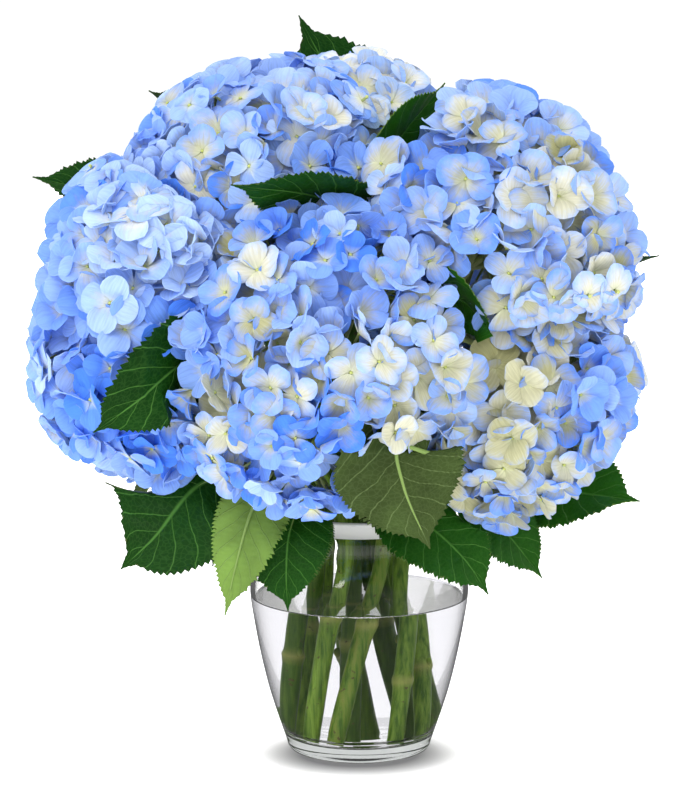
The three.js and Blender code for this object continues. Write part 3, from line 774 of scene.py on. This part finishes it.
def leaf_material(name, under, greens):
    """Hydrangea leaf: waxy and dark green above, dull and pale below, with a net of veins. Its
    greens are the darkest and the lightest, and those of its patches and veins."""
    dark, light, patch, vein = greens
    material, tree, shader = new_material(name, Roughness=0.6 if under else 0.46, Specular_IOR_Level=0.12)
    flat = add_node(tree, "UVMap", uv_map="blade")
    place = add_node(tree, "SeparateXYZ", {0: flat})
    centred = add_node(tree, "Math", {0: place.outputs["X"], 1: 2, 2: -1}, operation="MULTIPLY_ADD")
    aside = add_node(tree, "Math", {0: centred}, operation="ABSOLUTE")
    wander = add_node(tree, "TexNoise", {"Vector": flat, "Scale": 4})
    uneven = add_node(tree, "Math", {0: wander, 1: VEIN_WANDER}, operation="MULTIPLY")
    bent = add_node(tree, "Math", {0: aside, 1: 0.8}, operation="POWER")
    lean = add_node(tree, "Math", {0: bent, 1: -VEIN_LEAN, 2: uneven}, operation="MULTIPLY_ADD")
    order = add_node(tree, "Math", {0: place.outputs["Y"], 1: SIDE_VEINS, 2: lean}, operation="MULTIPLY_ADD")
    share = add_node(tree, "Math", {0: order, 1: 1}, operation="PINGPONG")
    double = add_node(tree, "Math", {0: share, 1: 0.5}, operation="SUBTRACT")
    off_vein = add_node(tree, "Math", {0: double}, operation="ABSOLUTE")
    side_vein = add_node(tree, "MapRange", {"Value": off_vein, "From Max": 0.05, "To Min": 1, "To Max": 0})
    midrib = add_node(
        tree, "MapRange", {"Value": aside, "From Min": 0.01, "From Max": 0.035, "To Min": 1, "To Max": 0}
    )
    net_place = add_node(tree, "Mapping", {"Vector": flat, "Scale": (22, 36, 1)})
    net = add_node(tree, "TexVoronoi", {"Vector": net_place, "Scale": 1}, feature="DISTANCE_TO_EDGE")
    small_vein = add_node(tree, "MapRange", {"Value": net, "From Max": 0.12, "To Min": 0.18, "To Max": 0})
    large = add_node(tree, "Math", {0: side_vein, 1: midrib}, operation="MAXIMUM")
    veins = add_node(tree, "Math", {0: large, 1: small_vein}, operation="MAXIMUM")
    where = add_node(tree, "TexCoord")
    patches = add_node(tree, "TexNoise", {"Vector": where.outputs["Object"], "Scale": 38, "Detail": 3})
    kind = add_node(tree, "Attribute", attribute_name="green")
    vein_share = add_node(tree, "Math", {0: veins, 1: 0.34 if under else 0.5}, operation="MULTIPLY")
    green = add_node(tree, "Mix", {0: kind.outputs["Fac"], 6: dark, 7: light})
    for share, shade in ((patches, patch), (vein_share, vein)):
        green = add_node(tree, "Mix", {0: share, 6: green, 7: shade})
    bump = add_node(tree, "Bump", {"Height": large, "Strength": 0.6, "Distance": 0.0007}, invert=not under)
    set_inputs(shader, {"Base Color": green, "Normal": bump})
    return material


leaf_above = leaf_material(
    "waxy_leaf_upper_side", under=False, greens=("#052404", "#2f7312", "#0f4207", "#5f9a42")
)
leaf_below = leaf_material(
    "dull_leaf_underside", under=True, greens=("#25310f", "#86ad4c", "#465b2a", "#8ea66a")
)
stalk_green, _, _ = new_material("green_petiole", Roughness=0.5, Base_Color="#7d9a4c")

# Leaves that lie on the heads: how far florets keep away from the part of the blade in a box, and
# how far in front of it.
LEAVES_IN_VIEW = {
    "above_right": (12, 24, (-500, -500, 388), (500, 500, 500)),
    "middle": (4, 0, (-500, -500, 366), (500, 500, 500)),
    "cleft": (12, 20, (52, -500, 0), (500, 500, 500)),
    "left_front": (9, 0, (-500, -500, 0), (500, 500, 264)),
    "front": (8, 0, (-500, -500, 0), (500, 500, 204)),
    "behind_upper_left": (11, 0, (-500, -500, 0), (500, 500, 500)),
}
leaf_rooms = []

# How light each leaf's green is, where it isn't the usual dark green.
LIGHT_LEAVES = {
    "low_pale": 1, "cleft": 1, "right_low": 0.9, "above_right": 0.9, "low_far_right": 0.55,
    "low_right": 0.5, "left_front": 0.05, "front": 0,
}

# The part of a leaf above a height that is tucked back under the florets.
TUCKED_ABOVE = {"front": 210}
TUCK = 0.9


def add_blade(bm, line, width, faces, waver, tucked_above):
    """A toothed blade along a line: a grid bent to shape, then given its thickness."""
    sheet = bmesh.ops.create_grid(
        bm, x_segments=BLADE_COLUMNS, y_segments=BLADE_ROWS, size=1, calc_uvs=True
    )
    ways = directions(line)
    for vert in sheet["verts"]:
        edge, along = vert.co.x, (vert.co.y + 1) / 2
        row = round(along * BLADE_ROWS)
        side = Vector(faces).cross(ways[row]).normalized()
        up = ways[row].cross(side).normalized()
        half = max(0.5, width / 2 * blade_outline(along))
        tooth = (along * LEAF_TEETH + 0.15 * (edge > 0)) % 1
        notch = TOOTH_DEPTH * (1 - tooth) * abs(edge) ** 8 * min(1, half / 12)
        order = along * SIDE_VEINS - VEIN_LEAN * abs(edge) ** 0.8 + 0.5
        pucker = abs(math.sin(math.pi * (order % 1))) ** 0.6 * (1 - abs(edge) ** 4)
        pucker *= PUCKER * min(1, 5 * abs(edge)) * min(1, half / 12)
        rise = half * LEAF_FOLD * abs(edge) ** 1.2
        wave = half * 0.05 * math.sin(along * 13 + waver + 2 * (edge > 0)) * abs(edge) ** 3
        spot = line[row] + side * edge * (half - notch) - ways[row] * notch / 2
        spot = clear_of_heads(spot + up * (rise + wave))
        spot.y += TUCK * max(0, spot.z - tucked_above)
        vert.co = spot + up * pucker
    bm.normal_update()
    toward = sum((face.normal * face.calc_area() for face in bm.faces), Vector())
    if toward.dot(Vector(faces)) < 0:
        bmesh.ops.reverse_faces(bm, faces=bm.faces)
    for face in thicken(bm, BLADE_THICKNESS):
        face.material_index = 1


for number, (name, leaf) in enumerate(LEAVES.items()):
    stem_name, height, route, width, faces, petiole = leaf
    line = smooth_line(leaf_line(stem_name, height, route), LEAF_STEPS + 1)
    blade_start = round(petiole * LEAF_STEPS)
    step = (LEAF_STEPS - blade_start) / BLADE_ROWS
    blade_line = [line[blade_start + round(i * step)] for i in range(BLADE_ROWS + 1)]
    leaf_bm = bmesh.new()
    leaf_bm.loops.layers.uv.new("blade")
    add_blade(leaf_bm, blade_line, width, faces, number, TUCKED_ABOVE.get(name, 500))
    if name in LEAVES_IN_VIEW:
        room, ahead, low, high = LEAVES_IN_VIEW[name]
        in_view = []
        for vert in leaf_bm.verts:
            if all(a < at < b for a, at, b in zip(low, vert.co, high)):
                in_view += [vert.co - Vector((0, ahead * share, 0)) for share in (0, 0.5, 1)]
        places = KDTree(len(in_view))
        for i, place in enumerate(in_view):
            places.insert(place, i)
        places.balance()
        leaf_rooms.append((room, places))
    stalk = line[:blade_start:STALK_STEP]
    stalk[2:] = [clear_of_heads(point) for point in stalk[2:]]
    ways = directions(blade_line)
    midrib = []
    for i in range(2, round(BLADE_ROWS * MIDRIB_END), 3):
        side = Vector(faces).cross(ways[i]).normalized()
        up = ways[i].cross(side).normalized()
        midrib.append(clear_of_heads(blade_line[i]) - up * 0.9)
    radii = [PETIOLE_RADIUS] * len(stalk)
    radii += [PETIOLE_RADIUS * (0.8 - 0.65 * i / len(midrib)) for i in range(len(midrib))]
    for face in tube(leaf_bm, stalk + midrib, radii, 8):
        face.material_index = 2
    green = leaf_bm.verts.layers.float.new("green")
    for vert in leaf_bm.verts:
        vert[green] = LIGHT_LEAVES.get(name, 0.1 + 0.05 * (number % 4))
    leaf_looks = [leaf_above, leaf_below, stalk_green]
    finish_piece(leaf_bm, f"leaf_{name}_blade", leaf_looks, "leaf", f"leaf_{name}")

# Heads: domes of a hundred and twenty florets or more, each of four broad sepals round a small
# unopened centre. Their green stalks branch from the top of the stem and hold them close together.

FLORET_SPREAD = math.radians(122)
FLORET_SPACING = 17.2
SPILL = 20
SQUEEZE_DEPTH = 6
VALLEY_REACH = 28
VALLEY_FILL = {HEAD_GAP: 15, LEAF_GAP: -2, BED_GAP: 0}
BED_TOP = 212
LUMP_SIZE = 42
LUMP_HEIGHT = 6
# Where the heads are dented: centre, radius and depth.
HOLLOWS = [
    ((-204, 0, 290), 38, 31),
    ((-150, -36, 178), 24, 11),
    ((-107, 0, 412), 34, -13),
    ((-46, 10, 424), 26, 12),
    ((172, -10, 369), 34, 24),
    ((178, -10, 291), 30, 28),
    ((166, -30, 192), 26, 9),
    ((150, -40, 172), 28, 12),
    ((-6, -105, 160), 24, 9),
]
BALL_EDGE = 0.99
BALL_SLACK = 0.09
SEPAL_COLUMNS = 4
SEPAL_ROWS = 4
SEPAL_THICKNESS = 0.35
SEPAL_WIDEST = 0.6
CLAW_WIDTH = 0.55
TILT = math.radians(30)
LEAN = 0.85
SINK = (7, 15)
LOW_SINK = (15, 22)
LOW_SHARE = 0.35
SEPAL_SPILL = 12
BEAD_RADIUS = 1.15
GOLDEN_ANGLE = math.pi * (3 - math.sqrt(5))
BRANCH_COUNT = 12
BRANCH_REACH = 0.45

# Each head's florets: the length of a sepal, how blue and how pale they are, and the patches where
# they differ, as centre, radius, blueness and paleness.
# Their paleness is partly the florets' own colour and partly painted light and shade: paler where light
# falls on a head, darker cream and deeper blue where it lies in shade.
BLOOMS = {
    "front": (
        17, 0.58, 0.4,
        [
            ((-77, -137, 229), 34, 0.12, 0.4), ((-69, -114, 314), 24, 0.3, 0.5),
            ((36, -140, 240), 34, 0.18, 0.45), ((-6, -137, 300), 24, 0.4, 0.7),
            ((-18, -118, 329), 32, 1.0, 0.3), ((-98, -114, 277), 28, 0.95, 0.35),
            ((-34, -150, 205), 30, 0.85, 0.4), ((-45, -130, 178), 30, 1.0, 0.35),
        ],
    ),
    "left": (
        20, 0.85, 0.5,
        [
            ((-124, -85, 336), 40, 0.55, 1.0), ((-151, -97, 270), 34, 0.95, 0.3),
            ((-123, -90, 210), 40, 1.0, 0.1),
        ],
    ),
    "upper_left": (
        17.5, 0.84, 0.5,
        [((-85, -55, 394), 20, 0.25, 0.6), ((-18, -45, 400), 20, 0.35, 0.5), ((-91, -70, 354), 14, 0, 0.4)],
    ),
    "top": (16.5, 0.35, 0.75, [((-30, 10, 400), 24, 0.8, 0.4)]),
    "upper_right": (
        18.5, 0.68, 0.45,
        [
            ((115, -83, 367), 28, 0.15, 0.3), ((79, -103, 351), 18, 0.4, 0.7),
            ((138, -88, 321), 22, 0.3, 0.3), ((147, -71, 278), 26, 0.1, 0.35),
            ((70, -61, 400), 18, 0.3, 0.4), ((97, -107, 299), 20, 0.3, 0.4),
        ],
    ),
    "lower_right": (
        17.5, 0.3, 0.3,
        [
            ((86, -110, 240), 38, 0.05, 0.35), ((110, -104, 206), 22, 0.2, 0.4),
            ((150, -88, 235), 26, 0.95, 0.35),
        ],
    ),
    "back_left": (18, 0.78, 0.45, [((-110, 140, 300), 34, 0.3, 0.6)]),
    "back_right": (18, 0.7, 0.45, [((110, 150, 250), 36, 0.2, 0.5)]),
}


def planes_near(point, head):
    """A head's contact planes. The one of the leaf that lies on it ends at the leaf's top."""
    return [plane for plane in head["planes"] if plane[2] != BED_GAP or point.z < BED_TOP]


def press(point, head, slack):
    """Moves a point back from the neighbouring heads, to no further than a slack beyond them."""
    for normal, offset, _ in planes_near(point, head):
        depth = normal.dot(point) - offset - slack
        if depth > -SQUEEZE_DEPTH:
            pressed = -SQUEEZE_DEPTH * math.exp(-(depth + SQUEEZE_DEPTH) / SQUEEZE_DEPTH)
            point = point + normal * (pressed - depth)
    return point


def keep_in_ball(point, head):
    """Draws a point that stands far out of a head's ball back towards it."""
    size = size_at(point, head)
    if size > BALL_EDGE:
        kept = BALL_EDGE + BALL_SLACK * (1 - math.exp(-(size - BALL_EDGE) / BALL_SLACK))
        point = head["centre"] + (point - head["centre"]) * (kept / size)
    return point


def floret_spots(head, count, start):
    """Where the florets of a head grow: evenly round its ball, and pressed in by its neighbours."""
    lowest = math.cos(FLORET_SPREAD)
    turn = Vector((0, 0, 1)).rotation_difference(head["faces"])
    for i in range(count):
        height = 1 - (1 - lowest) * (i + 0.5) / count
        ring = math.sqrt(1 - height * height)
        angle = i * GOLDEN_ANGLE + start
        axial = head["ahead"] if height > 0 else head["behind"]
        across = head["across"]
        middle = Vector((across * ring * math.cos(angle), across * ring * math.sin(angle), axial * height))
        outward = Vector((middle.x / across**2, middle.y / across**2, middle.z / axial**2))
        outward = turn @ (outward.normalized() + middle.normalized()).normalized()
        middle = turn @ middle + head["centre"]
        middle += outward * LUMP_HEIGHT * noise.noise(middle / LUMP_SIZE)
        for centre, radius, depth in HOLLOWS:
            middle -= outward * depth * math.exp(-(((middle - Vector(centre)).length / radius) ** 2))
        if max(normal.dot(middle) - offset for normal, offset, _ in planes_near(middle, head)) > SPILL:
            continue
        # Between two heads the florets stand further out and fill the valley.
        for normal, offset, gap in head["planes"]:
            nearness = 1 - max(0, offset - normal.dot(middle)) / VALLEY_REACH
            if nearness > 0 and gap != BED_GAP:
                aside = (outward - normal * outward.dot(normal)).normalized()
                middle += aside * VALLEY_FILL[gap] * nearness**2
                outward = outward.lerp(aside, 0.6 * nearness).normalized()
        yield press(middle, head, 0), outward


def sepal_point(edge, along, shape):
    """A point of a sepal with its base at the origin, its length along X and its upper side to +Z."""
    # The square grid is drawn into a disc, and the disc is narrowed towards the base.
    ahead = 2 * along - 1
    out = 0.5 + 0.5 * ahead * math.sqrt(1 - edge * edge / 2)
    width = math.sqrt(1 - ahead * ahead / 2) * (CLAW_WIDTH + (1 - CLAW_WIDTH) * min(1, out / SEPAL_WIDEST))
    y = edge * width * shape["width"]
    ruffle = shape["ruffle"] * math.sin(4 * edge + shape["phase"]) * out**2 * (0.3 + abs(edge))
    up = shape["cup"] * y * y * 1.6 + shape["twist"] * y * out + ruffle
    # The length bends along an arc, and the rest stands square to it.
    start, bend = shape["opening"], shape["bend"]
    angle = start + bend * out
    x = (math.sin(angle) - math.sin(start)) / bend - up * math.sin(angle)
    z = (math.cos(start) - math.cos(angle)) / bend + up * math.cos(angle)
    return Vector((x, y, z)) * shape["length"]


def floret_colours(point, bloom, rng):
    """How blue and how pale a floret is at a place on its head."""
    _, blue, pale, patches = bloom
    for centre, radius, patch_blue, patch_pale in patches:
        nearness = math.exp(-(((point - Vector(centre)).length / radius) ** 2) * 0.8)
        blue += (patch_blue - blue) * nearness
        pale += (patch_pale - pale) * nearness
    blue += rng.gauss(0, 0.13)
    pale += rng.gauss(0, 0.22)
    return min(1, max(0, blue)), min(0.92, max(0, pale))


# Sepals are thin, soft and almost without gloss, and fine veins fan out along them. Blue pigment
# gathers at the rim, so the base stays cream, and light that passes through keeps shadows blue.
petal, tree, shader = new_material(
    "hydrangea_sepal", Roughness=0.6, Specular_IOR_Level=0.25,
    Subsurface_Weight=0.35, Subsurface_Radius=(1, 1, 1), Subsurface_Scale=0.002,
)
flat = add_node(tree, "UVMap", uv_map="sepal")
place = add_node(tree, "SeparateXYZ", {0: flat})
tint = add_node(tree, "Attribute", attribute_name="tint")
kind = add_node(tree, "SeparateColor", {0: tint})
centred = add_node(tree, "Math", {0: place.outputs["X"], 1: 2, 2: -1}, operation="MULTIPLY_ADD")
aside = add_node(tree, "Math", {0: centred, 1: 2}, operation="POWER")
rim_share = add_node(tree, "Math", {0: place.outputs["Y"], 1: 0.7}, operation="MULTIPLY")
rim = add_node(tree, "Math", {0: aside, 1: 0.3, 2: rim_share}, operation="MULTIPLY_ADD")
own_shift = add_node(
    tree, "CombineXYZ", {"X": kind.outputs["Blue"], "Y": kind.outputs["Red"], "Z": kind.outputs["Blue"]}
)
vein_place = add_node(tree, "Mapping", {"Vector": flat, "Location": own_shift, "Scale": (16, 1.3, 1)})
veins = add_node(tree, "TexNoise", {"Vector": vein_place, "Scale": 1, "Detail": 2, "Roughness": 0.6})
# Pigment is denser at the rim and along the veins, and blotchy, in patches about 6 mm wide.
where = add_node(tree, "TexCoord")
blotches = add_node(
    tree, "TexNoise", {"Vector": where.outputs["Object"], "Scale": 170, "Detail": 3, "Roughness": 0.65}
)
pigment = rim
for source, weight in ((kind.outputs["Red"], 1.1), (veins, 0.5), (blotches, 0.6)):
    pigment = add_node(tree, "Math", {0: source, 1: weight, 2: pigment}, operation="MULTIPLY_ADD")
blush = add_node(
    tree, "MapRange", {"Value": pigment, "From Min": 1.1, "From Max": 1.88}, interpolation_type="SMOOTHSTEP"
)
# The low end of paleness, darker cream and deeper blue, is partly painted shade.
paleness = kind.outputs["Green"]
cream, blue = [
    add_node(tree, "Mix", {0: paleness, 6: deep, 7: pale})
    for deep, pale in (("#b3b27e", "#eae9dc"), ("#4581f2", "#b2cdfc"))
]
coloured = add_node(tree, "Mix", {0: blush, 6: cream, 7: blue})
throat = add_node(
    tree, "MapRange", {"Value": place.outputs["Y"], "From Max": 0.3, "To Min": 0.55, "To Max": 0}
)
greened = add_node(tree, "Mix", {0: throat, 6: coloured, 7: "#e2e8b8"})
vein_light = add_node(
    tree, "MapRange", {"Value": veins, "From Min": 0.3, "From Max": 0.7, "To Min": 0.8, "To Max": 1.07}
)
veined_petal = add_node(tree, "VectorMath", {0: greened, "Scale": vein_light}, operation="SCALE")
bump = add_node(tree, "Bump", {"Height": veins, "Strength": 0.35, "Distance": 0.0006})
set_inputs(shader, {"Base Color": veined_petal, "Normal": bump})

bead, _, _ = new_material("unopened_floret_centre", Roughness=0.5, Base_Color="#c3cd74")
pedicel, _, _ = new_material("pale_green_pedicel", Roughness=0.55, Base_Color="#9aa765")


def add_floret(bm, head, bloom, middle, outward, rng):
    """Four sepals round a centre, facing out of the head with a tilt of their own."""
    # The florets under a head get little light and stay smaller.
    size = bloom[0] * rng.uniform(0.86, 1.1) * (1 + 0.2 * min(0, outward.z))
    axis = outward.orthogonal()
    axis.rotate(Quaternion(outward, rng.uniform(0, math.tau)))
    # Florets at the edge of a head lean to the side from which the head is seen.
    lean = LEAN * math.copysign(1 - abs(outward.y), head["faces"].y - 0.5)
    facing = Quaternion(axis, rng.gauss(0, TILT)) @ (outward + Vector((0, lean, 0))).normalized()
    turn = Vector((0, 0, 1)).rotation_difference(facing)
    turn = turn @ Quaternion((0, 0, 1), rng.uniform(0, math.tau))
    sink = rng.uniform(*LOW_SINK) if rng.random() < LOW_SHARE else rng.uniform(*SINK)
    heart = middle - outward * sink
    blue_share, pale_share = floret_colours(middle, bloom, rng)
    opening = rng.uniform(0.15, 1.05)
    bend = rng.uniform(-0.8, 0.35) - 0.3 * opening
    tint = bm.verts.layers.float_color.new("tint")
    for k in range(4):
        shape = {
            "length": size * rng.uniform(0.92, 1.06),
            "width": rng.uniform(0.46, 0.56),
            "opening": opening + rng.gauss(0, 0.16),
            "bend": bend + rng.gauss(0, 0.15),
            "cup": rng.uniform(-0.15, 0.45),
            "twist": rng.gauss(0, 0.2),
            "ruffle": rng.uniform(0.03, 0.1),
            "phase": rng.uniform(0, math.tau),
        }
        swing = Quaternion((0, 0, 1), k * math.pi / 2 + rng.gauss(0, 0.1))
        lift = Vector((0.8, 0, 0.9 * (k % 2)))
        own = rng.uniform(-0.13, 0.13)
        kind = (blue_share + own, pale_share + own, rng.random(), 1)
        sepal = bmesh.ops.create_grid(
            bm, x_segments=SEPAL_COLUMNS, y_segments=SEPAL_ROWS, size=1, calc_uvs=True
        )
        for vert in sepal["verts"]:
            local = sepal_point(vert.co.x, (vert.co.y + 1) / 2, shape) + lift
            spot = heart + turn @ (swing @ local)
            vert.co = press(keep_in_ball(spot, head), head, SEPAL_SPILL)
            vert[tint] = kind
    thicken(bm, SEPAL_THICKNESS)
    # The unopened centre is a small bead with four lobes.
    ball = bmesh.ops.create_uvsphere(bm, u_segments=8, v_segments=4, radius=BEAD_RADIUS)
    for vert in ball["verts"]:
        swell = 1 + 0.18 * math.cos(4 * math.atan2(vert.co.y, vert.co.x))
        vert.co = Vector((vert.co.x * swell, vert.co.y * swell, vert.co.z * 0.8 + 1))
    bmesh.ops.transform(bm, matrix=Matrix.LocRotScale(heart, turn, None), verts=ball["verts"])
    for face in {face for vert in ball["verts"] for face in vert.link_faces}:
        face.material_index = 1
    return heart


for number, (name, bloom) in enumerate(BLOOMS.items()):
    head = HEADS[name]
    rng = random.Random(number + 1)
    dome = math.tau * head["across"] * (head["across"] + head["ahead"]) / 2 * (1 - math.cos(FLORET_SPREAD))
    count = round(dome / FLORET_SPACING**2)
    # The stalks run from the stem's end to a dozen forks, and from the forks to the florets.
    base = head["centre"] - head["faces"] * (head["behind"] + PEDUNCLE_LENGTH)
    knuckle = base + head["faces"] * (PEDUNCLE_LENGTH + 2)
    forks = [
        head["centre"].lerp(middle, BRANCH_REACH)
        for middle, _ in floret_spots(head, BRANCH_COUNT, 0)
    ]
    head_bm = bmesh.new()
    faces = tube(head_bm, [base, base.lerp(knuckle, 0.6), knuckle], [4.7, 4.6, 3.6], 12)
    for fork in forks:
        bend = knuckle.lerp(fork, 0.5) + head["faces"] * 4
        faces += tube(head_bm, [knuckle - head["faces"] * 2, bend, fork], [2.4, 1.9, 1.5], 7)
    for face in faces:
        face.material_index = 2
    scrap = bpy.data.meshes.new("scrap")
    for middle, outward in floret_spots(head, count, number):
        if any(places.find(middle)[2] < room for room, places in leaf_rooms):
            continue
        floret_bm = bmesh.new()
        floret_bm.loops.layers.uv.new("sepal")
        heart = add_floret(floret_bm, head, bloom, middle, outward, rng)
        fork = min(forks, key=lambda place: (place - heart).length)
        for face in tube(floret_bm, [fork, fork.lerp(heart, 0.55), heart], [0.9, 0.8, 0.9], 5):
            face.material_index = 2
        floret_bm.to_mesh(scrap)
        floret_bm.free()
        head_bm.from_mesh(scrap)
    bpy.data.meshes.remove(scrap)
    finish_piece(head_bm, f"bloom_{name}_florets", [petal, bead, pedicel], "petal", f"bloom_{name}")

low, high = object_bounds()
sizes = {"cad": [list(cad_low), list(cad_high)], "visual": [list(low), list(high)]}
